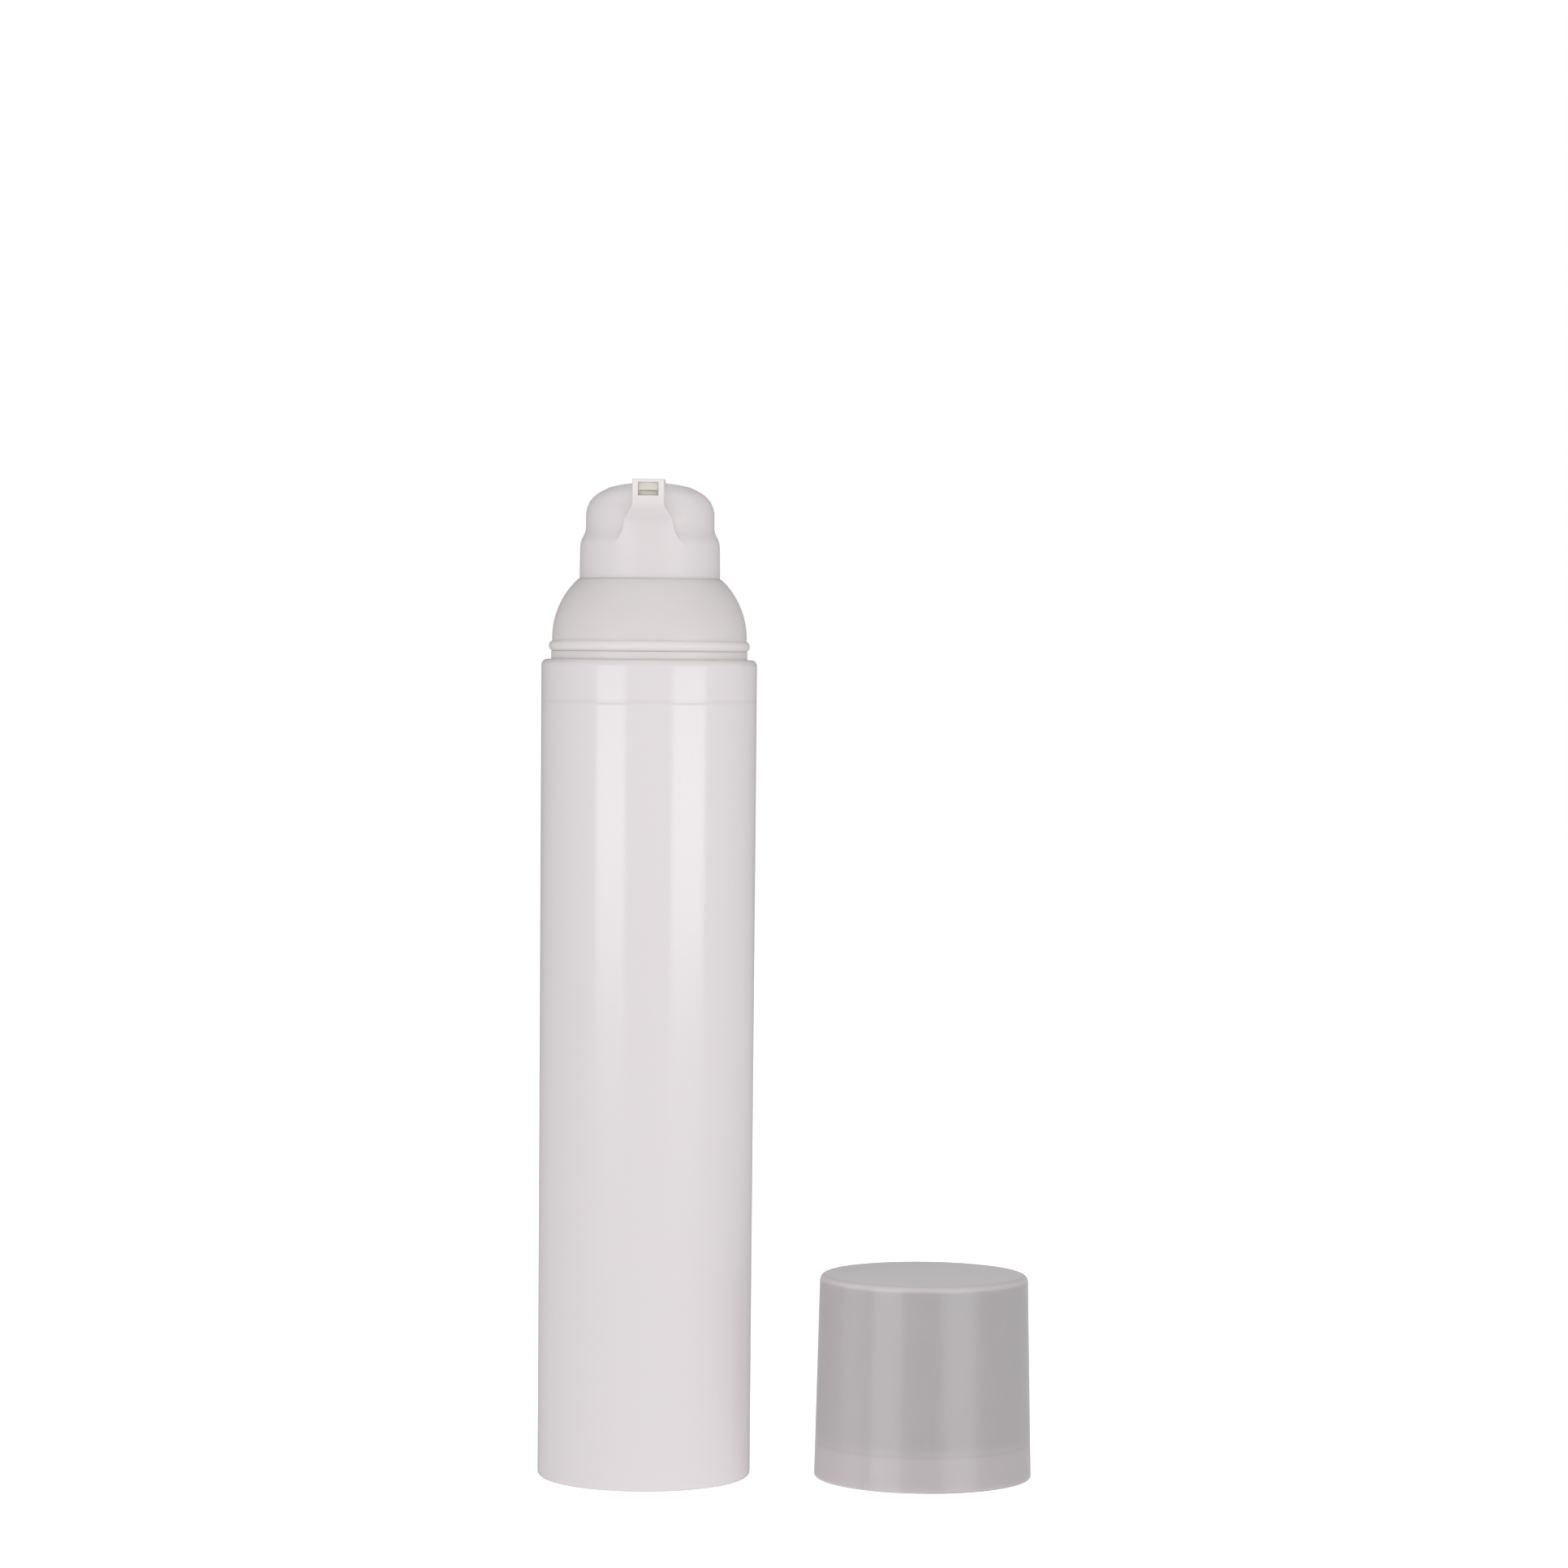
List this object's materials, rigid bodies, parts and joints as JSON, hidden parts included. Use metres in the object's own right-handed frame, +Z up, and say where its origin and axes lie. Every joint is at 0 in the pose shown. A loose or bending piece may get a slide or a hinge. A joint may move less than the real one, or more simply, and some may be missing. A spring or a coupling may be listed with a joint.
{
  "type": "airless pump bottle",
  "caption": "Straight round airless dispenser with a domed shoulder, a press-down nozzle head and a separate frosted overcap standing beside it.",
  "frame": {"origin": "centre of the container's foot ring, on the plane that it stands on", "axes": "+Z up along the bottle; the nozzle faces -Y; the cap stands beside the bottle on +X"},
  "size_m": [0.0922, 0.0412, 0.1848],
  "materials": {
    "white_gloss_plastic": "glossy warm white polypropylene",
    "natural_plastic": "uncoloured polypropylene, satin",
    "piston_plastic": "soft polyethylene, satin",
    "insert_plastic": "cream moulded plastic, satin",
    "seal": "soft white seal",
    "spring_steel": "drawn stainless wire",
    "valve_ball": "polished stainless ball",
    "frosted_plastic": "frosted grey polypropylene, satin"
  },
  "bodies": {
    "bottle": {"container": "white_gloss_plastic", "snap_ring": "natural_plastic", "shoulder": "white_gloss_plastic", "neck_gasket": "seal", "cylinder_gasket": "seal", "pump_cylinder": "natural_plastic", "cylinder_cap": "natural_plastic", "pump_spring": "spring_steel"},
    "follower": {"follower_piston": "piston_plastic"},
    "plunger": {"pump_stem": "natural_plastic", "pump_piston": "piston_plastic", "piston_retainer": "natural_plastic"},
    "button": {"actuator": "white_gloss_plastic", "nozzle_insert": "insert_plastic"},
    "inlet_valve": {"inlet_ball": "valve_ball"},
    "outlet_valve": {"outlet_ball": "valve_ball"},
    "loose_cap": {"cap": "frosted_plastic"}
  },
  "joints": [
    {"name": "press", "type": "slide", "parent": "bottle", "child": "plunger", "axis": [0, 0, -1], "range_m": [0, 0.0055], "stiffness_N_per_m": 900, "springref_m": -0.006, "deforming": ["pump_spring"]},
    {"name": "button_turn", "type": "hinge", "parent": "plunger", "child": "button", "pos_m": [0, 0, 0.1685], "axis": [0, 0, 1], "continuous": true},
    {"name": "follower_rise", "type": "slide", "parent": "bottle", "child": "follower", "axis": [0, 0, 1], "range_m": [0, 0.1247]},
    {"name": "inlet_lift", "type": "slide", "parent": "bottle", "child": "inlet_valve", "axis": [0, 0, 1], "range_m": [0, 0.0009]},
    {"name": "outlet_lift", "type": "slide", "parent": "plunger", "child": "outlet_valve", "axis": [0, 0, 1], "range_m": [0, 0.0008]},
    {"name": "cap_lift", "type": "slide", "parent": "bottle", "child": "loose_cap", "axis": [0, 0, 1], "range_m": [0, 0.19]}
  ]
}
